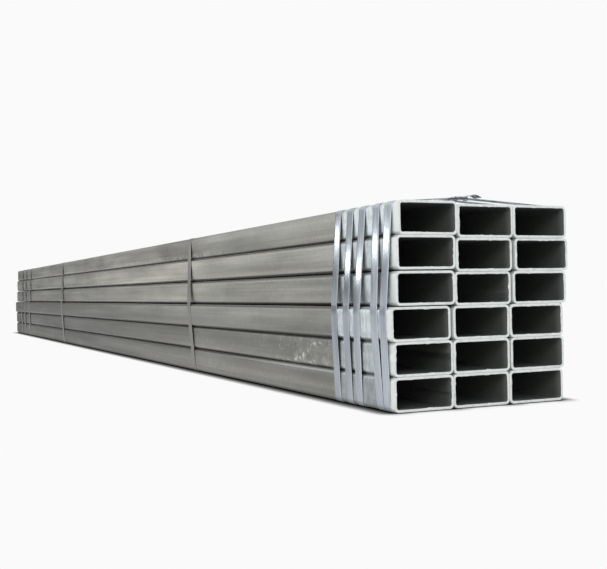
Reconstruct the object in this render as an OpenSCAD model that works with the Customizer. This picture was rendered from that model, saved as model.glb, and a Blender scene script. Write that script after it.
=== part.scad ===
// Bundle of galvanised rectangular steel tubes, three across and six high, held by flat steel straps.
// X runs across the stack, Y along the tubes from the front ends to the far ends, Z up.
// The origin is the centre of the underside, where the lowest straps meet the ground.

/* [Tubes] */
// Width of a tube across the stack
tube_w = 160; // [120:5:220]
// Height of a tube
tube_h = 80; // [60:5:120]
// Thickness of the tube wall
wall = 6; // [3:0.5:8]
// Outside corner radius of a tube
corner_r = 12; // [9:0.5:20]
// Length of the shortest tube
tube_len = 6000; // [4500:100:12000]

/* [Stack] */
// Clearance between tubes that touch
seat_gap = 0.3; // [0.1:0.1:1]

/* [Straps] */
// Width of the steel strap
strap_w = 32; // [19:1:40]
// Thickness of the steel strap
strap_t = 1; // [0.6:0.1:1.6]
// Clearance between a strap and what it passes over
strap_gap = 0.2; // [0.1:0.1:1]
// Distance from the front ends to the first strap's edge
front_edge = 23; // [15:1:100]
// Distance from the front ends to the middle of the strap at the front quarter
front_quarter = 1510; // [800:5:2000]
// Distance from the far ends to the middle of the strap at the far quarter
far_quarter = 1940; // [1100:5:2400]
// Distance from the far ends to the last strap's edge
far_edge = 255; // [60:1:350]

/* [Seals] */
// Length of a strap seal, along its strap
seal_l = 34; // [30:1:80]
// Thickness of a seal's sheet
seal_t = 1.2; // [0.8:0.1:2]
// Clearance between a seal's sides and its strap
seal_gap = 0.6; // [0.4:0.1:1.5]
// Distance from the left side of the top row to the middle of a seal
seal_x = 186; // [80:1:380]
// How far a seal stands off the top tubes
seal_lift = 9; // [0.3:0.1:15]
// How far a cut strap end runs past its seal
tail_l = 42; // [10:1:80]
// How far a cut strap end arches up past its seal
tail_rise = 7; // [0:0.5:20]

/* [Hidden] */
// Sides of a round corner, of the circles that a strap's outline is stretched over, and of a cut end's arch
arc_fn = 48;
strap_fn = 32;
arch_steps = 8;

// Side shift of each row, from the bottom row up
row_shift = [0, 1, -4, 9, 13, 19];
// Extra space after the first and the second tube of each row, from the bottom row up
row_space = [[0, 0], [0, 5], [7, 0], [0.5, 6], [0.5, 10], [0, 0]];
// How far bow in the steel holds each row's tubes up, one column to a number
lift = [[0, 0, 0], [0.4, 0, 0], [0.6, 0, 0], [3, 0, 0], [6, 0, 0], [6, 0, 0]];
// How far each tube's front end stands back, and how far its far end overruns the shortest tube
front_back = [[0, 2, 1], [1, 0, 2], [2, 1, 0], [0, 2, 1], [1, 0, 2], [0, 1, 0]];
far_over = [[0, 12, 4], [14, 6, 20], [22, 30, 12], [34, 24, 38], [44, 36, 28], [48, 40, 50]];
rows = len(row_shift);
columns = len(row_space[0]) + 1;

// Clear space from each strap to the next one inwards, counted from its own end of the bundle
front_space = [14, 54, 26, 34];
far_space = [132, 183];
// How much further from the front a strap stands at its top than at its foot
front_slant = [12, 38, 4, 18, 20];
quarter_slant = [95, 120];
far_slant = [60, 50, 70];
// Side offset of each strap's seal from the common seal line
seal_step = [6, 16, -8, -20, 9, 0, -6, 10, -12, 5];

bore_r = max(corner_r - wall, 1);
inner_r = (corner_r + strap_gap) / cos(180 / strap_fn);
outer_r = inner_r + strap_t;
ground_z = outer_r - corner_r;
longest = tube_len + max([for (row = far_over) max(row)]);
front_y = -longest / 2;
far_y = front_y + tube_len;

// Left side of a tube, counted from the left side of an unshifted bottom row
function tube_left(row, column) =
    row_shift[row] + column * (tube_w + seat_gap) + (column > 0 ? row_space[row][0] : 0)
    + (column > 1 ? row_space[row][1] : 0);
function tube_foot(row, column) = ground_z + row * (tube_h + seat_gap) + lift[row][column];

stack_left = min([for (row = [0 : rows - 1]) tube_left(row, 0)]);
stack_right = max([for (row = [0 : rows - 1]) tube_left(row, columns - 1) + tube_w]);
stack_top = max([for (column = [0 : columns - 1]) tube_foot(rows - 1, column) + tube_h]);
middle_x = (stack_left + stack_right) / 2;
seal_line = row_shift[rows - 1] + seal_x - middle_x;

// A seal stands a little off the stack and wraps two layers of strap
function seal_w(i) = strap_w / cos(lean(i)) + 2 * (seal_gap + seal_t);
seal_h = 2 * (seal_t + strap_gap + strap_t);
seal_foot = stack_top + seal_lift;
strap_rise = seal_foot + seal_t + strap_gap;

function run_up(spaces, count) = count == 0 ? 0 : spaces[count - 1] + strap_w + run_up(spaces, count - 1);
front_places = [
    for (i = [0 : len(front_slant) - 1]) front_y + front_edge + strap_w / 2 + run_up(front_space, i)
];
quarter_places = [front_y + front_quarter, far_y - far_quarter];
far_places = [
    for (i = [len(far_slant) - 1 : -1 : 0]) far_y - far_edge - strap_w / 2 - run_up(far_space, i)
];
strap_places = concat(front_places, quarter_places, far_places);
strap_slants = concat(front_slant, quarter_slant, far_slant);
straps = len(strap_places);

// A strap's angle from upright, and where its middle stands along the tubes at a height
function lean(i) = atan(strap_slants[i] / stack_top);
function strap_y(i, z) = strap_places[i] + (z / stack_top - 0.5) * strap_slants[i];

function tube_name(row, column) = str("tube_row", row + 1, "_column", column + 1);
function strap_name(i) = str("strap_", i + 1);
function seal_name(i) = str("seal_", i + 1);

module rounded_rectangle(width, height, radius) {
    translate([radius, 0]) square([width - 2 * radius, height]);
    translate([0, radius]) square([width, height - 2 * radius]);
    for (x = [radius, width - radius], y = [radius, height - radius]) {
        translate([x, y]) circle(r = radius, $fn = arc_fn);
    }
}

// A tube's section is drawn in X and Z and run along Y
module tube(row, column) {
    start = front_y + front_back[row][column];
    length = tube_len + far_over[row][column] - front_back[row][column];
    color("lightgrey")
    translate([tube_left(row, column) - middle_x, start + length, tube_foot(row, column)])
    rotate([90, 0, 0])
    linear_extrude(height = length)
    difference() {
        rounded_rectangle(tube_w, tube_h, corner_r);
        translate([wall, wall]) rounded_rectangle(tube_w - 2 * wall, tube_h - 2 * wall, bore_r);
    }
}

// The shape a tight strap takes round the corner tubes of every row and over its seal
module strap_outline(radius, rise, seal_middle) {
    edge = corner_r - radius;
    hull() {
        for (row = [0 : rows - 1], column = [0, columns - 1], z = [corner_r, tube_h - corner_r]) {
            side = column == 0 ? corner_r : tube_w - corner_r;
            translate([tube_left(row, column) + side - middle_x, tube_foot(row, column) + z])
            circle(r = radius, $fn = strap_fn);
        }
        translate([seal_middle - seal_l / 2, stack_top - corner_r + edge])
        square([seal_l, rise - stack_top + radius]);
    }
}

// The band between two leaning planes, one strap wide, that a strap is cut to
module strap_band(i) {
    translate([-stack_top, strap_y(i, 0), 0])
    rotate([-lean(i), 0, 0])
    translate([0, -strap_w / 2, -stack_top])
    cube([2 * stack_top, strap_w, 3 * stack_top]);
}

// Underside of the arched cut end, from the seal at share 0 to the tip at share 1
function arch_point(share) = [
    seal_l / 2 + seal_gap + share * (tail_l - seal_gap),
    strap_t + tail_rise * (sin(180 * share) + share / 8)
];

// The cut end lies on the first layer through the seal, then arches up and down again past it
module strap_end() {
    reach = seal_l / 2 + seal_gap;
    under = [for (step = [0 : arch_steps]) arch_point(step / arch_steps)];
    over = [for (step = [arch_steps : -1 : 0]) arch_point(step / arch_steps) + [0, strap_t]];
    root = [[reach - strap_t, 2 * strap_t], [reach - strap_t, strap_t]];
    translate([-reach, strap_t / 2]) square([2 * reach, 1.5 * strap_t]);
    polygon(concat(under, over, root));
}

module strap(i) {
    seal_middle = seal_line + seal_step[i];
    reach = strap_w + abs(strap_slants[i]);
    color("gainsboro")
    intersection() {
        translate([0, strap_places[i] + reach, 0])
        rotate([90, 0, 0])
        linear_extrude(height = 2 * reach) {
            difference() {
                strap_outline(outer_r, strap_rise + strap_t, seal_middle);
                strap_outline(inner_r, strap_rise, seal_middle);
            }
            translate([seal_middle, strap_rise]) strap_end();
        }
        strap_band(i);
    }
}

module seal(i) {
    start_y = strap_y(i, seal_foot + seal_h / 2) - seal_w(i) / 2;
    color("darkgrey")
    translate([seal_line + seal_step[i] - seal_l / 2, start_y, seal_foot])
    difference() {
        cube([seal_l, seal_w(i), seal_h]);
        translate([-1, seal_t, seal_t]) cube([seal_l + 2, seal_w(i) - 2 * seal_t, seal_h - 2 * seal_t]);
    }
}

for (row = [0 : rows - 1], column = [0 : columns - 1]) {
    tube(row, column);
}
for (i = [0 : straps - 1]) {
    strap(i);
}
for (i = [0 : straps - 1]) {
    seal(i);
}
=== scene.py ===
import math
import random
import bpy
from mathutils import Matrix, Vector


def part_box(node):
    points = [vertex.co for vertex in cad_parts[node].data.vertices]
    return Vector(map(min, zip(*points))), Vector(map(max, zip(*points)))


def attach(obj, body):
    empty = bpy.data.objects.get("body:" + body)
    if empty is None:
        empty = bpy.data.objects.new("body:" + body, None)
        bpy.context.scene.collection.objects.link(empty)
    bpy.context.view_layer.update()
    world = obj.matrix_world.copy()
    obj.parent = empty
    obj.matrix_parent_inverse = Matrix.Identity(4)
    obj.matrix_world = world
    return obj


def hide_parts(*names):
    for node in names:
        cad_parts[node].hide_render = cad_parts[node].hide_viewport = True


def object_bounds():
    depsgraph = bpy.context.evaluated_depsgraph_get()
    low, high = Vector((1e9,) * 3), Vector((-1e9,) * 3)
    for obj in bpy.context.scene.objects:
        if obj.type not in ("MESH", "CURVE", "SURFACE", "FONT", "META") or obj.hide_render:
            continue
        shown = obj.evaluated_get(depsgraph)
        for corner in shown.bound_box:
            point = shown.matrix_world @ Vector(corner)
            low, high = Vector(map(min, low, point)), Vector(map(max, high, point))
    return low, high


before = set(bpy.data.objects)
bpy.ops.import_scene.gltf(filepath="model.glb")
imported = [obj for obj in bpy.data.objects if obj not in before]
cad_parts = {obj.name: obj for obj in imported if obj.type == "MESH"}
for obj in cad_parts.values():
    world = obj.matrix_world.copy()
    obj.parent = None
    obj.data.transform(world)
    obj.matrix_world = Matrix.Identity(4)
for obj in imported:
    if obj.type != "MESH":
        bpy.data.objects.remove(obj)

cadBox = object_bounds()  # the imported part's own box, before any piece is added
nodeNames = sorted(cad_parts)
print("frame loaded:", len(nodeNames), "nodes")


# small helpers for wiring node trees
def inputSocket(node, name):
    return next(s for s in node.inputs if s.name == name and s.enabled)


def addNode(tree, kind, inputs=None, **settings):
    node = tree.nodes.new(kind)
    for key, value in settings.items():
        setattr(node, key, value)
    for key, value in (inputs or {}).items():
        socket = node.inputs[key] if isinstance(key, int) else inputSocket(node, key)
        if hasattr(value, "links"):
            tree.links.new(value, socket)
        else:
            socket.default_value = value
    return node


def calc(tree, operation, *values, clamp=False):
    given = dict(enumerate(values))
    return addNode(tree, "ShaderNodeMath", given, operation=operation, use_clamp=clamp).outputs[0]


def product(tree, *values):
    result = values[0]
    for value in values[1:]:
        result = calc(tree, "MULTIPLY", result, value)
    return result


def awayFrom(tree, value, middle):
    return calc(tree, "ABSOLUTE", calc(tree, "SUBTRACT", value, middle))


def vectorCalc(tree, operation, *values):
    node = addNode(tree, "ShaderNodeVectorMath", dict(enumerate(values)), operation=operation)
    return node.outputs["Value" if operation in ("DISTANCE", "LENGTH", "DOT_PRODUCT") else "Vector"]


def remap(tree, value, low, high, outLow=0.0, outHigh=1.0, soft=False):
    given = {"Value": value, "From Min": low, "From Max": high, "To Min": outLow, "To Max": outHigh}
    kind = "SMOOTHSTEP" if soft else "LINEAR"
    return addNode(tree, "ShaderNodeMapRange", given, interpolation_type=kind).outputs[0]


def joinXyz(tree, x=0.0, y=0.0, z=0.0):
    return addNode(tree, "ShaderNodeCombineXYZ", {"X": x, "Y": y, "Z": z}).outputs[0]


def splitXyz(tree, vector):
    return addNode(tree, "ShaderNodeSeparateXYZ", {"Vector": vector}).outputs


# where the camera stands and looks
cameraSpot = {
    "place": (-1.3402, -4.932, 0.2824),
    "turn": -24.472,   # degrees from straight along the tubes
    "tilt": 0.413,     # degrees above level
    "roll": -1.096,
    "lens": 57.0,      # on a 36 mm sensor
}


def makeCamera(spot):
    data = bpy.data.cameras.new("camera")
    data.lens = spot["lens"]
    data.sensor_width = 36
    camera = bpy.data.objects.new("camera", data)
    bpy.context.scene.collection.objects.link(camera)
    turn = Matrix.Rotation(math.radians(spot["turn"]), 4, "Z")
    tilt = Matrix.Rotation(math.radians(90 + spot["tilt"]), 4, "X")
    roll = Matrix.Rotation(math.radians(spot["roll"]), 4, "Z")
    camera.matrix_world = Matrix.Translation(spot["place"]) @ turn @ tilt @ roll
    bpy.context.scene.camera = camera


# sizes that every hollow bar takes, tube or seal
barSizes = ("Width", "Height", "Length", "Wall", "Corner", "Edge", "Around", "Along")
edgeCuts = 2  # points that round off each thin edge


def makeTree(name, sockets):
    tree = bpy.data.node_groups.new(name, "GeometryNodeTree")
    for kind, labels in sockets.items():
        for label in labels:
            tree.interface.new_socket(label, in_out="INPUT", socket_type="NodeSocket" + kind)
    tree.interface.new_socket("Geometry", in_out="OUTPUT", socket_type="NodeSocketGeometry")
    given = tree.nodes.new("NodeGroupInput").outputs
    result = tree.nodes.new("NodeGroupOutput").inputs[0]
    return tree, given, result


def finishTree(tree, geometry, material, result):
    real = addNode(tree, "GeometryNodeRealizeInstances", {"Geometry": geometry}).outputs[0]
    done = addNode(tree, "GeometryNodeSetMaterial", {"Geometry": real, "Material": material}).outputs[0]
    tree.links.new(done, result)
    return tree


def position(tree):
    return addNode(tree, "GeometryNodeInputPosition").outputs[0]


def keepAttribute(tree, geometry, name, value):
    given = {"Geometry": geometry, "Name": name, "Value": value}
    return addNode(tree, "GeometryNodeStoreNamedAttribute", given,
                   data_type="FLOAT", domain="POINT").outputs[0]


def readAttribute(tree, name):
    return addNode(tree, "GeometryNodeInputNamedAttribute", {"Name": name}, data_type="FLOAT").outputs[0]


def shifted(tree, geometry, **given):
    return addNode(tree, "GeometryNodeSetPosition", {"Geometry": geometry, **given}).outputs[0]


def transformed(tree, geometry, **given):
    return addNode(tree, "GeometryNodeTransform", {"Geometry": geometry, **given}).outputs[0]


def cutLongSides(tree, curve, spacing):
    # a short side keeps its two ends, a long one gets a point every spacing
    following = addNode(tree, "GeometryNodeOffsetPointInCurve", {"Offset": 1}).outputs["Point Index"]
    there = addNode(tree, "GeometryNodeFieldAtIndex", {"Value": position(tree), "Index": following},
                    data_type="FLOAT_VECTOR").outputs[0]
    gap = vectorCalc(tree, "DISTANCE", position(tree), there)
    cuts = calc(tree, "FLOOR", calc(tree, "DIVIDE", gap, spacing))
    return addNode(tree, "GeometryNodeSubdivideCurve", {"Curve": curve, "Cuts": cuts}).outputs[0]


def roundedLoop(tree, width, height, radius, count):
    loop = addNode(tree, "GeometryNodeCurvePrimitiveQuadrilateral", {"Width": width, "Height": height})
    given = {"Curve": loop.outputs[0], "Count": count, "Radius": radius}
    return addNode(tree, "GeometryNodeFilletCurve", given, mode="POLY").outputs[0]


def makeHollowBarTree():
    # the wall's own long thin section is swept once round the bar's middle line, so the shell is closed
    tree, given, result = makeTree("hollowBar", {"Float": barSizes, "Int": ["Corner Cuts"]})
    width, height = (calc(tree, "SUBTRACT", given[size], given["Wall"]) for size in ("Width", "Height"))
    corner = calc(tree, "SUBTRACT", given["Corner"], calc(tree, "MULTIPLY", given["Wall"], 0.5))
    middle = roundedLoop(tree, width, height, corner, given["Corner Cuts"])
    middle = cutLongSides(tree, middle, given["Around"])
    wall = roundedLoop(tree, given["Wall"], given["Length"], given["Edge"], edgeCuts)
    wall = cutLongSides(tree, wall, given["Along"])
    across = splitXyz(tree, position(tree))
    half = calc(tree, "MULTIPLY", given["Length"], 0.5)
    wall = keepAttribute(tree, wall, "outward", calc(tree, "DIVIDE", across["X"], given["Wall"]))
    fromEnd = calc(tree, "SUBTRACT", half, calc(tree, "ABSOLUTE", across["Y"]))
    wall = keepAttribute(tree, wall, "fromEnd", fromEnd)
    bar = addNode(tree, "GeometryNodeCurveToMesh", {"Curve": middle, "Profile Curve": wall})
    tree.links.new(bar.outputs[0], result)
    return tree


def hollowBar(tree, given, barTree, cornerCuts):
    bar = tree.nodes.new("GeometryNodeGroup")
    bar.node_tree = barTree
    for name in barSizes:
        tree.links.new(given[name], bar.inputs[name])
    bar.inputs["Corner Cuts"].default_value = cornerCuts
    return bar.outputs[0]


def seededNoise(tree, vector, seed, scale, detail):
    given = {"Vector": vector, "W": seed, "Scale": scale, "Detail": detail}
    return addNode(tree, "ShaderNodeTexNoise", given, noise_dimensions="4D").outputs[0]


def makeTubeTree(barTree, look):
    tree, given, result = makeTree("cutTube", {
        "Float": [*barSizes, "Saw Depth", "Burr", "Seed", "Tone", "Row", "Column"],
        "Vector": ["Place"], "Material": ["Material"],
    })
    bar = hollowBar(tree, given, barTree, look["cornerCuts"])
    # the saw leaves each end a little uneven, always short of the full length
    spot = splitXyz(tree, position(tree))
    nearEnd = calc(tree, "MULTIPLY", given["Edge"], 0.6)
    atEnd = calc(tree, "LESS_THAN", readAttribute(tree, "fromEnd"), nearEnd)
    side = calc(tree, "SIGN", spot["Z"])
    flatSpot = joinXyz(tree, spot["X"], spot["Y"], calc(tree, "MULTIPLY", side, 0.5))
    wave = seededNoise(tree, flatSpot, given["Seed"], 34.0, 3.0)
    depth = product(tree, remap(tree, wave, 0.3, 0.75), given["Saw Depth"], side, -1.0)
    # torn metal hangs from the edge into the bore
    shred = seededNoise(tree, flatSpot, calc(tree, "ADD", given["Seed"], 7.3), 85.0, 2.0)
    inner = calc(tree, "LESS_THAN", readAttribute(tree, "outward"), -0.1)
    tear = product(tree, remap(tree, shred, 0.5, 0.75), inner, given["Burr"])
    inwards = vectorCalc(tree, "NORMALIZE", joinXyz(tree, spot["X"], spot["Y"], 0.0))
    pull = addNode(tree, "ShaderNodeVectorMath", {0: inwards, "Scale": calc(tree, "MULTIPLY", tear, -1.0)},
                   operation="SCALE").outputs[0]
    shift = vectorCalc(tree, "ADD", pull, joinXyz(tree, 0.0, 0.0, depth))
    rough = shifted(tree, bar, Selection=atEnd, Offset=shift)
    # grows from 0 on the flats to 1 in the middle of each rounded corner, where the painted seam shade and
    # grime go
    spot = splitXyz(tree, position(tree))
    beyond = []
    for axis, size in (("X", "Width"), ("Y", "Height")):
        flat = calc(tree, "SUBTRACT", calc(tree, "MULTIPLY", given[size], 0.5), given["Corner"])
        beyond.append(calc(tree, "SUBTRACT", calc(tree, "ABSOLUTE", spot[axis]), flat))
    full = calc(tree, "MULTIPLY", given["Corner"], 0.65)
    share = calc(tree, "DIVIDE", calc(tree, "MINIMUM", *beyond), full)
    rough = keepAttribute(tree, rough, "cornerShare", calc(tree, "MAXIMUM", share, 0.0))
    placed = transformed(tree, rough, Translation=given["Place"], Rotation=(math.pi / 2, 0, 0))
    for name in ("Seed", "Tone", "Row", "Column"):
        placed = keepAttribute(tree, placed, "tube" + name, given[name])
    return finishTree(tree, placed, given["Material"], result)


def makeStrapTree():
    tree, given, result = makeTree("tightStrap", {
        "Geometry": ["Path"],
        "Float": ["Width", "Thickness", "Edge", "Dish", "Across", "Along", "Lean", "Middle Height", "Place",
                  "Seed", "Weathered", "Bow Middle", "Tone"],
        "Material": ["Material"],
    })
    band = roundedLoop(tree, given["Width"], given["Thickness"], given["Edge"], edgeCuts)
    band = cutLongSides(tree, band, given["Across"])
    spot = splitXyz(tree, position(tree))
    across = calc(tree, "DIVIDE", spot["X"], calc(tree, "MULTIPLY", given["Width"], 0.5))
    band = keepAttribute(tree, band, "across", across)
    sink = product(tree, across, across, calc(tree, "MULTIPLY", given["Dish"], -1.0))
    band = shifted(tree, band, Offset=joinXyz(tree, 0.0, sink, 0.0))
    path = addNode(tree, "GeometryNodeMeshToCurve", {"Mesh": given["Path"]}).outputs[0]
    path = cutLongSides(tree, path, given["Along"])
    run = addNode(tree, "GeometryNodeSplineParameter").outputs["Length"]
    path = keepAttribute(tree, path, "run", run)
    swept = addNode(tree, "GeometryNodeCurveToMesh",
                    {"Curve": path, "Profile Curve": band, "Fill Caps": True}).outputs[0]
    # the strap stands in a leaning plane and keeps its own width square to it
    spot = splitXyz(tree, position(tree))
    stretch = calc(tree, "SQRT", calc(tree, "MULTIPLY_ADD", given["Lean"], given["Lean"], 1.0))
    climb = calc(tree, "MULTIPLY", calc(tree, "SUBTRACT", spot["Z"], given["Middle Height"]), given["Lean"])
    along = calc(tree, "ADD", calc(tree, "MULTIPLY_ADD", spot["Y"], stretch, climb), given["Place"])
    leaned = shifted(tree, swept, Position=joinXyz(tree, spot["X"], along, spot["Z"]))
    kept = {"strapSeed": "Seed", "weathered": "Weathered", "bowMiddle": "Bow Middle", "strapTone": "Tone"}
    for name, label in kept.items():
        leaned = keepAttribute(tree, leaned, name, given[label])
    return finishTree(tree, leaned, given["Material"], result)


def makeSealTree(barTree, look):
    tree, given, result = makeTree("crimpedSeal", {
        "Float": [*barSizes, "Notch Step", "Notch Half", "Notch Depth", "Notch Drop"],
        "Vector": ["Place"], "Material": ["Material"],
    })
    bar = hollowBar(tree, given, barTree, look["cornerCuts"])
    # two pairs of jaws pinch both edges in and press them down, once each side of the middle
    spot = splitXyz(tree, position(tree))
    fromNotch = awayFrom(tree, calc(tree, "ABSOLUTE", spot["Z"]), given["Notch Step"])
    bite = remap(tree, fromNotch, given["Notch Half"], 0.0, soft=True)
    halfWidth = calc(tree, "MULTIPLY", given["Width"], 0.5)
    edgeShare = calc(tree, "DIVIDE", calc(tree, "ABSOLUTE", spot["X"]), halfWidth)
    nearEdge = remap(tree, edgeShare, 0.62, 1.0, soft=True)
    press = calc(tree, "MULTIPLY", bite, nearEdge)
    pinch = product(tree, press, given["Notch Depth"], calc(tree, "SIGN", spot["X"]), -1.0)
    upper = remap(tree, spot["Y"], 0.0, calc(tree, "MULTIPLY", given["Height"], 0.5))
    drop = product(tree, press, upper, given["Notch Drop"], -1.0)
    crimped = shifted(tree, bar, Offset=joinXyz(tree, pinch, drop, 0.0))
    laid = transformed(tree, crimped, Rotation=(math.pi / 2, 0, 0))
    laid = transformed(tree, laid, Rotation=(0, 0, math.pi / 2))
    placed = transformed(tree, laid, Translation=given["Place"])
    return finishTree(tree, placed, given["Material"], result)


def barValues(look, width, height, length):
    return {
        "Width": width, "Height": height, "Length": length, "Wall": look["wall"], "Corner": look["corner"],
        "Edge": look["edge"], "Around": look["aroundStep"], "Along": look["alongStep"],
    }


def growPiece(name, tree, values, node, path=None, sharpAngle=32):
    # the tree runs once, its result becomes the piece's plain mesh, and the modifier goes
    mesh = bpy.data.meshes.new(name)
    if path:
        mesh.from_pydata(path[0], path[1], [])
    piece = bpy.data.objects.new(name, mesh)
    bpy.context.scene.collection.objects.link(piece)
    modifier = piece.modifiers.new("grow", "NODES")
    modifier.node_group = tree
    for item in tree.interface.items_tree:
        if item.in_out == "INPUT" and item.name in values:
            modifier[item.identifier] = values[item.name]
    depsgraph = bpy.context.evaluated_depsgraph_get()
    grown = bpy.data.meshes.new_from_object(piece.evaluated_get(depsgraph), preserve_all_data_layers=True,
                                            depsgraph=depsgraph)
    piece.modifiers.remove(modifier)
    piece.data = grown
    grown.name = name
    bpy.data.meshes.remove(mesh)
    grown.shade_smooth()
    grown.set_sharp_from_angle(angle=math.radians(sharpAngle))
    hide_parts(node)
    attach(piece, "root")


# shader parts that the materials share
def newMaterial(name):
    material = bpy.data.materials.new(name)
    material.use_nodes = True
    tree = material.node_tree
    return material, tree, tree.nodes["Principled BSDF"]


def noise(tree, vector, scale, detail=4.0, roughness=0.55, distortion=0.0):
    given = {"Vector": vector, "Scale": scale, "Detail": detail, "Roughness": roughness,
             "Distortion": distortion}
    return addNode(tree, "ShaderNodeTexNoise", given).outputs[0]


def stretched(tree, vector, scale, turn=(0, 0, 0)):
    return addNode(tree, "ShaderNodeMapping", {"Vector": vector, "Scale": scale, "Rotation": turn}).outputs[0]


def attribute(tree, name):
    return addNode(tree, "ShaderNodeAttribute", attribute_name=name).outputs["Fac"]


def blendColor(tree, share, low, high, kind="MIX"):
    node = addNode(tree, "ShaderNodeMix", data_type="RGBA", blend_type=kind)
    for socket, value in ((node.inputs[0], share), (node.inputs[6], low), (node.inputs[7], high)):
        if hasattr(value, "links"):
            tree.links.new(value, socket)
        else:
            socket.default_value = value if isinstance(value, float) else (*value, 1.0)
    return node.outputs[2]


def shaded(tree, color, shade):
    return blendColor(tree, 1.0, color, joinXyz(tree, shade, shade, shade), "MULTIPLY")


def addBump(tree, shader, heights, strength):
    # heights pairs each pattern with its depth in metres
    height = 0.0
    for pattern, depth in heights:
        height = calc(tree, "MULTIPLY_ADD", pattern, depth, height)
    bump = addNode(tree, "ShaderNodeBump", {"Height": height, "Distance": 1.0, "Strength": strength})
    tree.links.new(bump.outputs[0], shader.inputs["Normal"])


# tubes, from their sizes to their weathering, painted light and painted shade
tubeLook = {
    "wall": 0.006,
    "corner": 0.012,
    "cornerCuts": 7,       # points that round a corner
    "edge": 0.0006,        # how far the saw's edge is broken
    "sawDepth": 0.0011,    # how uneven a cut end is
    "burr": 0.0022,        # how far torn metal hangs into the bore
    "aroundStep": 0.005,
    "alongStep": 0.3,
    "toneSpread": 0.08,
    # painted shade: lower rows darker and upper rows lighter, each row with its own tone too
    "rowShades": (0.74, 0.68, 0.87, 1.12, 1.22, 1.10),   # from the bottom row up
    "seed": 11,
}
tubeFinish = {
    "zinc": (0.345, 0.346, 0.325),
    "zincDark": (0.225, 0.225, 0.210),
    "zincWarm": (0.450, 0.433, 0.385),
    "litPaleZinc": (0.69, 0.77, 0.79),
    "chalk": (0.66, 0.66, 0.60),
    "grimeAndShade": (0.050, 0.050, 0.046),
    "cutMetal": (0.72, 0.75, 0.735),
    "cutDull": (0.40, 0.44, 0.44),
    "boreMouthLight": (0.190, 0.200, 0.185),
    "boreNear": (0.095, 0.105, 0.098),
    "boreDeep": (0.260, 0.280, 0.260),
    "paleEnd": -2.735,     # the bright zinc and its painted light run from the near ends to here
    "warmZone": (-1.75, 0.35),
    "dullPatch": -1.33,    # middle of the top row's dull patch
    "farEnds": (2.5, 2.8),  # the last stretch darkens between these
    "topFootHeight": (0.437, 0.419),  # marks along the foot of the top row fade in downwards
    "scuffsStart": (-2.74, -2.66),  # the second row's scuffs fade in and out between these
    "scuffsEnd": (-2.1, -2.45),
    "firstSeam": 0.0817,   # height of the seam between the two lowest rows
    "glintHeight": 0.0745,  # height of the painted glint on the corner under it
    "topRowLight": 0.14,       # painted light and shade: how much lighter the top row is, and how much darker the next
    "paleRowShade": (0.54, 0.98),  # painted shade: bottom row and third row, on the bright stretch
    "endLight": 0.028,          # painted light: the whitest band behind the near ends
    "stainAndShadowReach": 0.005,   # how far from a strap's edge its stain and painted shadow reach
}


def besideStraps(tree, place, stands, reach):
    # 1 along both edges of every strap, fading out over the reach
    half = strapLook["width"] / 2
    near = 0.0
    for stand in stands:
        foot = stand["Place"] - stand["Lean"] * stand["Middle Height"]
        middle = calc(tree, "MULTIPLY_ADD", place["Z"], stand["Lean"], foot)
        away = calc(tree, "ABSOLUTE", calc(tree, "SUBTRACT", place["Y"], middle))
        near = calc(tree, "MAXIMUM", near, remap(tree, away, half + reach, half))
    return near


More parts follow.
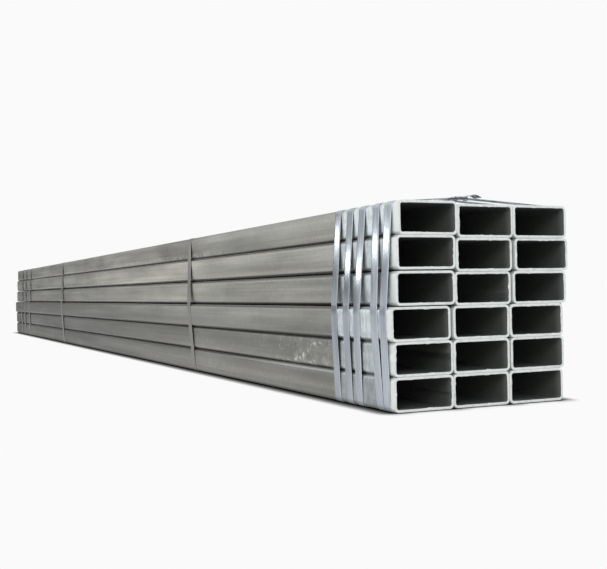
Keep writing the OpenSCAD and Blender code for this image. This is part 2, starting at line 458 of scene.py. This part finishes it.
def makeZincMaterial(look, stands):
    material, tree, shader = newMaterial("spangledZinc")
    spot = addNode(tree, "ShaderNodeTexCoord").outputs["Object"]
    seed = attribute(tree, "tubeSeed")
    own = vectorCalc(tree, "ADD", spot, joinXyz(tree, seed, calc(tree, "MULTIPLY", seed, 2.7), 0.0))
    place = splitXyz(tree, spot)
    # the tube's tone holds its row's painted shade as well as its own tone
    rowShadeAndTone = attribute(tree, "tubeTone")
    row = attribute(tree, "tubeRow")
    column = attribute(tree, "tubeColumn")
    streaks = noise(tree, stretched(tree, own, (60, 0.7, 60)), 1.0, 5.0, 0.6)
    fineStreaks = noise(tree, stretched(tree, own, (260, 2.2, 260)), 1.0, 3.0)
    clouds = noise(tree, stretched(tree, own, (9, 2.6, 9)), 1.0, 5.0, 0.62)
    patches = noise(tree, stretched(tree, own, (5, 0.9, 16)), 1.0, 2.0)
    bands = noise(tree, stretched(tree, own, (4, 0.5, 42)), 1.0, 3.0, 0.6)
    grain = noise(tree, own, 700.0, 3.0)
    spangle = addNode(tree, "ShaderNodeTexVoronoi", {"Vector": own, "Scale": 130.0}).outputs["Color"]
    spangle = splitXyz(tree, spangle)["X"]
    # zinc skin, from its dark and light streaks to the warm and pale stretches
    base = blendColor(tree, remap(tree, clouds, 0.3, 0.72), look["zincDark"], look["zinc"])
    base = blendColor(tree, remap(tree, streaks, 0.35, 0.75, 0.0, 0.55), base, look["zincWarm"])
    warmLow, warmHigh = look["warmZone"]
    warm = product(
        tree,
        remap(tree, place["Y"], warmLow, warmLow + 0.5, soft=True),
        remap(tree, place["Y"], warmHigh, warmHigh - 0.8, soft=True),
        remap(tree, row, 3.2, 5.0),
        remap(tree, row, 6.0, 5.0, 0.2, 1.0),
        remap(tree, patches, 0.3, 0.6, 0.25, 0.8),
    )
    base = blendColor(tree, warm, base, look["zincWarm"])
    # a duller patch on the top row, round the front quarter's strap
    topRow, underTop, secondRow = (calc(tree, "COMPARE", row, number, 0.2) for number in (6.0, 5.0, 2.0))
    fromPatch = awayFrom(tree, place["Y"], look["dullPatch"])
    dullPatch = calc(tree, "MULTIPLY", remap(tree, fromPatch, 0.45, 0.08, soft=True), topRow)
    # painted shade: the lower rows darken towards their far ends
    farLowShade = calc(tree, "MULTIPLY", remap(tree, place["Y"], -1.8, 1.0), remap(tree, row, 6.2, 3.0))
    # painted shadow and stain along both edges of every strap
    strapStainAndShadow = besideStraps(tree, place, stands, look["stainAndShadowReach"])
    strapStainAndShadow = calc(tree, "MULTIPLY", strapStainAndShadow, remap(tree, clouds, 0.3, 0.7, 0.25, 0.65))
    unstainedUnshadowed = calc(tree, "SUBTRACT", 1.0, strapStainAndShadow)
    shade = product(
        tree, rowShadeAndTone,
        remap(tree, patches, 0.3, 0.7, 0.80, 1.20),
        remap(tree, bands, 0.3, 0.7, 0.84, 1.14),
        remap(tree, dullPatch, 0.0, 1.0, 1.0, 0.68),
        remap(tree, spangle, 0.0, 1.0, 0.95, 1.05),
        remap(tree, fineStreaks, 0.3, 0.7, 0.93, 1.06),
        remap(tree, grain, 0.3, 0.7, 0.96, 1.04),
        remap(tree, farLowShade, 0.0, 1.0, 1.0, 0.58),
        remap(tree, place["Y"], *look["farEnds"], 1.0, 0.72),
        unstainedUnshadowed,
    )
    base = shaded(tree, base, shade)
    # chalky storage marks
    chalkNoise = noise(tree, stretched(tree, own, (40, 26, 40)), 1.0, 5.0, 0.7)
    chalkWhere = product(tree, remap(tree, patches, 0.56, 0.72), remap(tree, chalkNoise, 0.54, 0.70))
    topFoot = product(
        tree, topRow,
        remap(tree, place["Z"], *look["topFootHeight"], soft=True),
        remap(tree, place["Y"], -1.52, -1.1, 1.0, 0.55),
        remap(tree, place["Y"], 0.1, -0.5),
        remap(tree, place["Y"], -1.9, -1.6),
        remap(tree, chalkNoise, 0.42, 0.60),
    )
    # curled scuffs on one tube of the second row
    curls = noise(tree, stretched(tree, own, (1, 9, 15), (0.7, 0, 0)), 1.0, 1.0, 0.5, 0.9)
    scuffLines = remap(tree, awayFrom(tree, curls, 0.5), 0.032, 0.0, soft=True)
    scuffLines = calc(tree, "MULTIPLY", scuffLines, remap(tree, chalkNoise, 0.45, 0.58))
    scuffs = product(
        tree, secondRow,
        calc(tree, "COMPARE", column, 1.0, 0.2),
        remap(tree, place["Y"], *look["scuffsEnd"], soft=True),
        remap(tree, place["Y"], *look["scuffsStart"], soft=True),
        calc(tree, "MAXIMUM", scuffLines, remap(tree, chalkNoise, 0.48, 0.95)),
    )
    chalk = 0.0
    for marks, strength in ((chalkWhere, 0.25), (scuffs, 0.75), (topFoot, 0.5)):
        chalk = calc(tree, "MAXIMUM", chalk, calc(tree, "MULTIPLY", marks, strength))
    base = blendColor(tree, chalk, base, look["chalk"])
    # the bright stretch at the near ends, bright zinc with painted light; painted light and shade make its
    # top row the palest, the row under it a little darker and the lower rows darker still
    paleEdge = calc(tree, "ADD", place["Y"], remap(tree, clouds, 0.2, 0.8, -0.03, 0.03))
    pale = remap(tree, paleEdge, look["paleEnd"] + 0.02, look["paleEnd"] - 0.02, soft=True)
    pale = calc(tree, "MULTIPLY", pale, remap(tree, streaks, 0.3, 0.7, 0.75, 1.0))
    mottle = noise(tree, stretched(tree, own, (30, 95, 40)), 1.0, 4.0, 0.6)
    paleShade = product(
        tree,
        remap(tree, row, 1.0, 3.0, *look["paleRowShade"]),
        remap(tree, mottle, 0.32, 0.68, 0.78, 1.20),
        unstainedUnshadowed,
        calc(tree, "MULTIPLY_ADD", calc(tree, "SUBTRACT", topRow, underTop), look["topRowLight"], 1.0),
    )
    base = blendColor(tree, pale, base, shaded(tree, look["litPaleZinc"], paleShade))
    frontEnd = cadBox[0].y
    # painted light: a whiter band just behind the near ends
    endLight = remap(tree, paleEdge, frontEnd + look["endLight"] * 1.6, frontEnd + look["endLight"] * 0.6, soft=True)
    base = blendColor(tree, endLight, base, look["cutMetal"])
    # painted shade and grime along the rounded corners, where rows meet; less of it on the bright stretch
    # the painted seam shade and grime are weaker on the lowest seam near the front, where its corner catches
    # light, and at the foot and the top
    firstSeam = remap(tree, awayFrom(tree, place["Z"], look["firstSeam"]), 0.018, 0.010)
    lessSeamShade = calc(tree, "MULTIPLY", firstSeam, remap(tree, place["Y"], -1.9, -2.4))
    lessSeamShade = calc(tree, "MAXIMUM", lessSeamShade, remap(tree, place["Z"], 0.03, 0.01))
    lessSeamShade = calc(tree, "MAXIMUM", lessSeamShade, remap(tree, place["Z"], 0.466, 0.478))
    seamShadeAndGrime = product(
        tree,
        remap(tree, attribute(tree, "cornerShare"), 0.55, 1.0, soft=True),
        remap(tree, clouds, 0.3, 0.7, 0.65, 0.95),
        remap(tree, pale, 0.0, 1.0, 1.0, 0.75),
        remap(tree, endLight, 0.0, 1.0, 1.0, 0.4),
        remap(tree, lessSeamShade, 0.0, 1.0, 1.0, 0.35),
    )
    base = blendColor(tree, seamShadeAndGrime, base, look["grimeAndShade"])
    # painted highlight: a pale glint on the corner under the lowest seam, near the front
    cornerGlint = remap(tree, awayFrom(tree, place["Z"], look["glintHeight"]), 0.004, 0.001)
    base = blendColor(tree, product(tree, cornerGlint, lessSeamShade, 0.3), base, look["litPaleZinc"])
    # inside the bore, and the sawn ends
    fromEnd = attribute(tree, "fromEnd")
    bore = remap(tree, attribute(tree, "outward"), 0.0, -0.3)
    depth = remap(tree, fromEnd, 0.0, 0.35, soft=True)
    boreColor = blendColor(tree, depth, look["boreNear"], look["boreDeep"])
    boreColor = blendColor(tree, remap(tree, clouds, 0.35, 0.7, 0.0, 0.35), boreColor, look["boreNear"])
    # painted light: the bore is paler just behind its mouth
    boreColor = blendColor(tree, remap(tree, fromEnd, 0.03, 0.0, soft=True), boreColor, look["boreMouthLight"])
    base = blendColor(tree, bore, base, boreColor)
    sawn = remap(tree, fromEnd, 0.0006, 0.0001)
    sawMarks = noise(tree, stretched(tree, own, (30, 30, 900), (0, 0.25, 0)), 1.0, 3.0)
    dull = noise(tree, own, 75.0, 3.0, 0.6)
    cutColor = blendColor(tree, remap(tree, dull, 0.48, 0.76, 0.0, 0.6), look["cutMetal"], look["cutDull"])
    cutColor = blendColor(tree, remap(tree, sawMarks, 0.35, 0.7, 0.0, 0.3), cutColor, look["cutDull"])
    base = blendColor(tree, sawn, base, cutColor)
    tree.links.new(base, shader.inputs["Base Color"])
    metal = calc(tree, "SUBTRACT", 0.85, calc(tree, "MULTIPLY", chalk, 0.6))
    plainer = calc(tree, "MAXIMUM", calc(tree, "MAXIMUM", bore, sawn), endLight)
    metal = calc(tree, "SUBTRACT", metal, calc(tree, "MULTIPLY", plainer, 0.55), clamp=True)
    tree.links.new(metal, shader.inputs["Metallic"])
    rough = remap(tree, clouds, 0.3, 0.7, 0.36, 0.52)
    rough = calc(tree, "ADD", rough, remap(tree, fineStreaks, 0.3, 0.7, -0.05, 0.05))
    rough = calc(tree, "MULTIPLY_ADD", chalk, 0.3, rough, clamp=True)
    tree.links.new(rough, shader.inputs["Roughness"])
    ripple = noise(tree, stretched(tree, own, (14, 1.5, 14)), 1.0, 2.0)
    sawRidges = calc(tree, "MULTIPLY", sawMarks, sawn)
    heights = ((ripple, 0.0022), (grain, 0.00004), (fineStreaks, 0.00008), (sawRidges, 0.0003))
    addBump(tree, shader, heights, 0.6)
    return material


def makeTubes(tree, material, look):
    dice = random.Random(look["seed"])
    names = [n for n in nodeNames if n.startswith("tube_")]
    for name in names:
        low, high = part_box(name)
        row, column = int(name[8]), int(name[-1])
        size = high - low
        values = barValues(look, size.x, size.z, size.y) | {
            "Saw Depth": look["sawDepth"], "Burr": look["burr"], "Seed": dice.uniform(0, 40),
            # each tube's tone: its row's painted shade, spread a little at random
            "Tone": look["rowShades"][row - 1] * (1 + look["toneSpread"] * (dice.random() - 0.5)),
            "Row": float(row), "Column": float(column), "Place": (low + high) / 2, "Material": material,
        }
        growPiece("sawn_" + name, tree, values, name)
    return len(names)


# straps, the near five bright and the others weathered
strapLook = {
    "width": 0.032,
    "thickness": 0.001,
    "edge": 0.0004,
    "dish": 0.00015,       # how far the edges sit below the middle
    "acrossStep": 0.004,
    "alongStep": 0.012,
    "tailSteps": 14,
    "brightUpTo": -2.6,    # straps nearer the front than this are bright, the others weathered
    "bowMiddle": (0.388, 0.378, 0.310, 0.338, 0.412),   # where each bright strap's bow stands out most
    "tones": (1.08, 1.06, 1.0, 0.88, 0.84),             # of the same five, and again of the other five
}
strapFinish = {
    "steel": (0.50, 0.56, 0.62),
    "steelDark": (0.36, 0.40, 0.46),
    "weathered": (0.215, 0.206, 0.185),
    "worn": (0.86, 0.88, 0.90),
    "rust": (0.20, 0.12, 0.07),
    "bowFoot": 0.245,      # height above which the free run bows
    "bowCurve": 0.52,
}


def makeStrapMaterial(look):
    material, tree, shader = newMaterial("brightStrapSteel")
    spot = addNode(tree, "ShaderNodeTexCoord").outputs["Object"]
    across = attribute(tree, "across")
    sideways = calc(tree, "MULTIPLY", across, strapLook["width"] / 2)
    band = joinXyz(tree, sideways, attribute(tree, "run"), attribute(tree, "strapSeed"))
    drawn = noise(tree, stretched(tree, band, (900, 5, 1)), 1.0, 3.0)
    patchy = noise(tree, stretched(tree, band, (30, 7, 1)), 1.0, 4.0, 0.6)
    grain = noise(tree, spot, 900.0, 2.0)
    base = blendColor(tree, remap(tree, patchy, 0.35, 0.7), look["steelDark"], look["steel"])
    base = blendColor(tree, remap(tree, drawn, 0.45, 0.7, 0.0, 0.35), base, look["worn"])
    weathered = attribute(tree, "weathered")
    base = blendColor(tree, calc(tree, "MULTIPLY", weathered, 0.9), base, look["weathered"])
    edge = calc(tree, "POWER", calc(tree, "ABSOLUTE", across), 14.0)
    unweathered = remap(tree, weathered, 0.0, 1.0, 1.0, 0.2)
    edgeWear = product(tree, edge, remap(tree, patchy, 0.35, 0.6), unweathered)
    base = blendColor(tree, edgeWear, base, look["worn"])
    rustSpots = calc(tree, "MULTIPLY", remap(tree, noise(tree, band, 60.0, 5.0, 0.7), 0.66, 0.74), 0.5)
    base = blendColor(tree, rustSpots, base, look["rust"])
    base = shaded(tree, base, attribute(tree, "strapTone"))
    tree.links.new(base, shader.inputs["Base Color"])
    tree.links.new(calc(tree, "SUBTRACT", 0.95, rustSpots), shader.inputs["Metallic"])
    rough = calc(tree, "MULTIPLY_ADD", rustSpots, 0.4, remap(tree, patchy, 0.3, 0.7, 0.17, 0.28))
    rough = calc(tree, "MULTIPLY_ADD", weathered, 0.18, rough)
    tree.links.new(rough, shader.inputs["Roughness"])
    swell = noise(tree, stretched(tree, band, (3, 4.6, 1)), 1.0, 0.0)
    # the strap's free run over the upper rows bows a little outwards
    fromBow = calc(tree, "MAXIMUM", splitXyz(tree, spot)["Z"], look["bowFoot"])
    fromBow = calc(tree, "SUBTRACT", fromBow, attribute(tree, "bowMiddle"))
    bow = calc(tree, "MULTIPLY", fromBow, fromBow)
    heights = ((swell, 0.010), (drawn, 0.00003), (bow, -look["bowCurve"]), (grain, 0.00002))
    addBump(tree, shader, heights, 0.8)
    return material


def hullOf(points):
    # the tight loop round a set of points, counter-clockwise
    points = sorted(set(points))

    def half(run):
        kept = []
        for p in run:
            while len(kept) > 1 and ((kept[-1][0] - kept[-2][0]) * (p[1] - kept[-2][1])
                                     - (kept[-1][1] - kept[-2][1]) * (p[0] - kept[-2][0])) <= 1e-9:
                kept.pop()
            kept.append(p)
        return kept[:-1]

    return half(points) + half(points[::-1])


def drawnIn(loop, inset):
    # every corner of a counter-clockwise loop moved inwards along its own normal
    moved = []
    for i, here in enumerate(loop):
        before, after = Vector(loop[i - 1]), Vector(loop[(i + 1) % len(loop)])
        into = (Vector(here) - before).normalized()
        out = (after - Vector(here)).normalized()
        way = (into + out).normalized()
        moved.append((here[0] - way.y * inset, here[1] + way.x * inset))
    return moved


def strapPath(name, sealName, look):
    spots = [v.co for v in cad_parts[name].data.vertices]
    sealLow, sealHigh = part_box(sealName)
    half = look["thickness"] / 2
    firstLayer = (sealLow.z + sealHigh.z) / 2
    around = [(round(p.x, 6), round(p.z, 6)) for p in spots if p.z < firstLayer + half / 2]
    loop = drawnIn(hullOf(around), half)
    first = min(range(len(loop)), key=lambda i: (loop[i][1], loop[i][0]))
    loop = loop[first:] + loop[:first]
    corners = [(x, 0.0, z) for x, z in loop]
    edges = [(i, (i + 1) % len(loop)) for i in range(len(loop))]
    # the cut end lies on the first layer, then arches up and down again beyond the seal
    reach = max(p.x for p in spots if p.z > firstLayer + look["thickness"] * 1.5)
    rise = max(p.z for p in spots) - firstLayer - look["thickness"] - look["dish"]
    tip = min(p.z for p in spots if p.x > reach - 0.0005 and p.z > firstLayer - half) - firstLayer
    start = len(corners)
    corners += [(sealLow.x - 0.0006, 0.0, firstLayer + half), (sealHigh.x, 0.0, firstLayer + half)]
    for step in range(1, look["tailSteps"] + 1):
        share = step / look["tailSteps"]
        arch = min(rise, rise * math.sin(math.pi * share) + tip * share ** 2)
        corners.append((sealHigh.x + (reach - sealHigh.x) * share, 0.0, firstLayer + half + arch))
    edges += [(i, i + 1) for i in range(start, len(corners) - 1)]
    # how the strap leans along the tubes
    meanY = sum(p.y for p in spots) / len(spots)
    meanZ = sum(p.z for p in spots) / len(spots)
    lean = sum((p.y - meanY) * (p.z - meanZ) for p in spots) / sum((p.z - meanZ) ** 2 for p in spots)
    return (corners, edges), {"Lean": lean, "Middle Height": meanZ, "Place": meanY}


def makeStraps(tree, material, look, paths):
    for number, (path, stand) in paths.items():
        name = "strap_" + number
        turn = (int(number) - 1) % len(look["tones"])
        values = {
            "Width": look["width"], "Thickness": look["thickness"], "Edge": look["edge"],
            "Dish": look["dish"], "Across": look["acrossStep"], "Along": look["alongStep"],
            "Seed": float(number) * 3.7, "Weathered": float(stand["Place"] > look["brightUpTo"]),
            "Bow Middle": look["bowMiddle"][turn], "Tone": look["tones"][turn],
            "Material": material, **stand,
        }
        growPiece("tight_" + name, tree, values, name, path)


# seals, one crimped on each strap
sealLook = {
    "wall": 0.0012,
    "corner": 0.0017,
    "cornerCuts": 4,
    "edge": 0.0003,
    "aroundStep": 0.0016,
    "alongStep": 0.0011,
    "notchStep": 0.0095,   # from the middle of the seal to each pair of jaw marks
    "notchHalf": 0.0042,
    "notchDepth": 0.0016,  # shallow enough for the sheet to keep the strap's edge inside it
    "notchDrop": 0.0011,
}
sealFinish = {
    "steel": (0.34, 0.34, 0.40),
    "pressed": (0.70, 0.70, 0.74),
    "grimeAndShade": (0.10, 0.10, 0.115),
}


def makeSealMaterial(look):
    material, tree, shader = newMaterial("pressedSealSteel")
    spot = addNode(tree, "ShaderNodeTexCoord").outputs["Object"]
    patchy = noise(tree, spot, 70.0, 4.0, 0.6)
    grain = noise(tree, spot, 1100.0, 2.0)
    scratches = noise(tree, stretched(tree, spot, (60, 900, 200), (0, 0, 0.3)), 1.0, 3.0)
    base = blendColor(tree, remap(tree, patchy, 0.35, 0.7), look["grimeAndShade"], look["steel"])
    base = blendColor(tree, remap(tree, scratches, 0.56, 0.7, 0.0, 0.6), base, look["pressed"])
    tree.links.new(base, shader.inputs["Base Color"])
    shader.inputs["Metallic"].default_value = 0.9
    tree.links.new(remap(tree, patchy, 0.3, 0.7, 0.28, 0.5), shader.inputs["Roughness"])
    addBump(tree, shader, ((grain, 0.00004), (scratches, 0.00006)), 0.8)
    return material


def makeSeals(tree, material, look, numbers):
    for number in numbers:
        name = "seal_" + number
        low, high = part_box(name)
        size = high - low
        values = barValues(look, size.y, size.z, size.x) | {
            "Notch Step": look["notchStep"], "Notch Half": look["notchHalf"],
            "Notch Depth": look["notchDepth"], "Notch Drop": look["notchDrop"],
            "Place": (low + high) / 2, "Material": material,
        }
        growPiece("crimped_" + name, tree, values, name)


# floor and light
roomLook = {
    "backdrop": 0.955,
    "skyHigh": 1.0,
    "skyLow": 0.16,
    "dimWay": (0.10, 1.0, -0.05),        # the studio is dimmest beyond the far ends
    "dimSpread": (0.35, 0.995),          # how closely a direction has to match it
    "dimSquash": 3.0,                    # how much sooner it brightens upwards than sideways
    "floorGlow": 0.80,                   # how much light the floor throws back
    "contact": 0.05,                     # how far the soft shadow at the foot reaches
    "contactDepth": (1.0, 5.2),          # how dark it is in reflections, and to the camera
}
softboxes = {
    "key": {"place": (-3.6, -6.4, 2.6), "aim": (-0.2, -2.9, 0.25), "size": (2.2, 2.2), "power": 100.0},
    "strip": {"place": (-2.7, 2.2, 1.14), "aim": (-0.25, -2.8, 0.40), "size": (1.0, 0.2), "power": 6.6},
}


def makeRoom(look):
    scene = bpy.context.scene
    scene.view_settings.view_transform = "Standard"
    world = bpy.data.worlds.new("paleStudio")
    scene.world = world
    world.use_nodes = True
    tree = world.node_tree
    tree.nodes.clear()
    way = addNode(tree, "ShaderNodeTexCoord").outputs["Generated"]
    squashed = vectorCalc(tree, "MULTIPLY", way, (1.0, 1.0, look["dimSquash"]))
    squashed = vectorCalc(tree, "NORMALIZE", squashed)
    facing = vectorCalc(tree, "DOT_PRODUCT", squashed, Vector(look["dimWay"]).normalized())
    dim = remap(tree, facing, *look["dimSpread"], soft=True)
    strength = remap(tree, dim, 0.0, 1.0, look["skyHigh"], look["skyLow"])
    studio = addNode(tree, "ShaderNodeBackground", {"Color": (1, 1, 1, 1), "Strength": strength})
    plain = addNode(tree, "ShaderNodeBackground", {"Color": (1, 1, 1, 1), "Strength": look["backdrop"]})
    seen = addNode(tree, "ShaderNodeLightPath").outputs["Is Camera Ray"]
    both = addNode(tree, "ShaderNodeMixShader", {0: seen, 1: studio.outputs[0], 2: plain.outputs[0]})
    addNode(tree, "ShaderNodeOutputWorld", {"Surface": both.outputs[0]})
    bpy.ops.mesh.primitive_plane_add(size=120)
    floor = bpy.context.object
    floor.name = "floor"
    material, tree, shader = newMaterial("paleFloor")
    near = addNode(tree, "ShaderNodeAmbientOcclusion", {"Distance": look["contact"]},
                   samples=16).outputs["AO"]
    seen = addNode(tree, "ShaderNodeLightPath").outputs["Is Camera Ray"]
    glow = calc(tree, "POWER", near, remap(tree, seen, 0.0, 1.0, *look["contactDepth"]))
    glow = calc(tree, "MULTIPLY", glow, remap(tree, seen, 0.0, 1.0, look["floorGlow"], look["backdrop"]))
    paint = addNode(tree, "ShaderNodeEmission", {"Color": (1, 1, 1, 1), "Strength": glow})
    tree.links.new(paint.outputs[0], tree.nodes["Material Output"].inputs["Surface"])
    tree.nodes.remove(shader)
    floor.data.materials.append(material)


def makeSoftbox(name, look):
    lamp = bpy.data.lights.new(name, "AREA")
    lamp.shape = "RECTANGLE"
    lamp.size, lamp.size_y = look["size"]
    lamp.energy = look["power"]
    box = bpy.data.objects.new(name, lamp)
    bpy.context.scene.collection.objects.link(box)
    toward = Vector(look["aim"]) - Vector(look["place"])
    turn = toward.to_track_quat("-Z", "Y").to_matrix().to_4x4()
    box.matrix_world = Matrix.Translation(look["place"]) @ turn


makeCamera(cameraSpot)
print("camera set")
numbers = [n.split("_")[1] for n in nodeNames if n.startswith("strap_")]
paths = {number: strapPath("strap_" + number, "seal_" + number, strapLook) for number in numbers}
print("strap paths traced:", len(paths))
barTree = makeHollowBarTree()
zinc = makeZincMaterial(tubeFinish, [stand for path, stand in paths.values()])
made = makeTubes(makeTubeTree(barTree, tubeLook), zinc, tubeLook)
print("tubes sawn:", made)
makeStraps(makeStrapTree(), makeStrapMaterial(strapFinish), strapLook, paths)
print("straps tightened:", len(paths))
makeSeals(makeSealTree(barTree, sealLook), makeSealMaterial(sealFinish), sealLook, numbers)
print("seals crimped:", len(numbers))
makeRoom(roomLook)
for name, look in softboxes.items():
    makeSoftbox(name, look)
print("floor and lights set")
